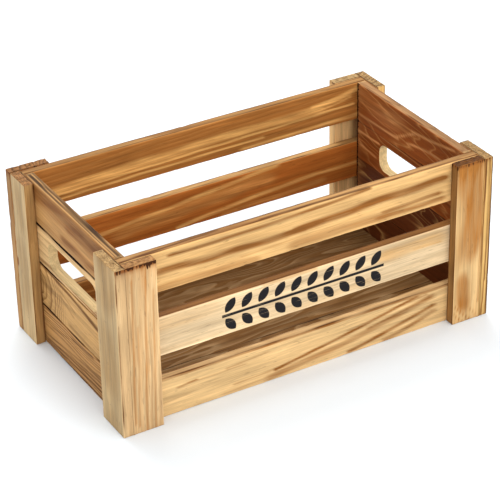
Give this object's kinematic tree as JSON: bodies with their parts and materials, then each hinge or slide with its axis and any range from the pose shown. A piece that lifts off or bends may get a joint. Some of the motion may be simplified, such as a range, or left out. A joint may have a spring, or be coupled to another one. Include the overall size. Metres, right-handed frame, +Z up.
{
  "type": "wooden apple crate",
  "caption": "Small open wooden fruit crate with slatted long sides, boarded ends pierced by rounded hand holes, lapped corner cleats and a matched board floor.",
  "frame": {"origin": "centre of the crate's base, on the surface it stands on", "axes": "+X along the length to the right, -Y out of the front slats, +Z up"},
  "size_m": [0.35, 0.196, 0.152],
  "materials": {
    "cleat_wood": "sawn, torched and brushed pine with a satin wax",
    "slat_wood": "planed pine, lightly torched, satin wax",
    "end_board_wood": "torched and brushed pine, darker inside, satin wax",
    "floor_wood": "dark torched pine, matt",
    "brad_steel": "dull bright wire"
  },
  "bodies": {
    "root": {"end_cleat_front_left": "cleat_wood", "side_cleat_front_left": "cleat_wood", "end_cleat_brads_front_left": "brad_steel", "slat_brads_front_left": "brad_steel", "end_cleat_front_right": "cleat_wood", "side_cleat_front_right": "cleat_wood", "end_cleat_brads_front_right": "brad_steel", "slat_brads_front_right": "brad_steel", "front_slat_bottom": "slat_wood", "front_slat_middle": "slat_wood", "front_slat_top": "slat_wood", "floor_pins_front": "brad_steel", "end_cleat_back_left": "cleat_wood", "side_cleat_back_left": "cleat_wood", "end_cleat_brads_back_left": "brad_steel", "slat_brads_back_left": "brad_steel", "end_cleat_back_right": "cleat_wood", "side_cleat_back_right": "cleat_wood", "end_cleat_brads_back_right": "brad_steel", "slat_brads_back_right": "brad_steel", "back_slat_bottom": "slat_wood", "back_slat_middle": "slat_wood", "back_slat_top": "slat_wood", "floor_pins_back": "brad_steel", "left_end_board_bottom": "end_board_wood", "left_end_board_lower": "end_board_wood", "left_end_board_upper": "end_board_wood", "left_end_board_top": "end_board_wood", "floor_pins_left": "brad_steel", "right_end_board_bottom": "end_board_wood", "right_end_board_lower": "end_board_wood", "right_end_board_upper": "end_board_wood", "right_end_board_top": "end_board_wood", "floor_pins_right": "brad_steel", "floor_board_1": "floor_wood", "floor_board_2": "floor_wood", "floor_board_3": "floor_wood", "floor_board_4": "floor_wood"}
  },
  "joints": []
}
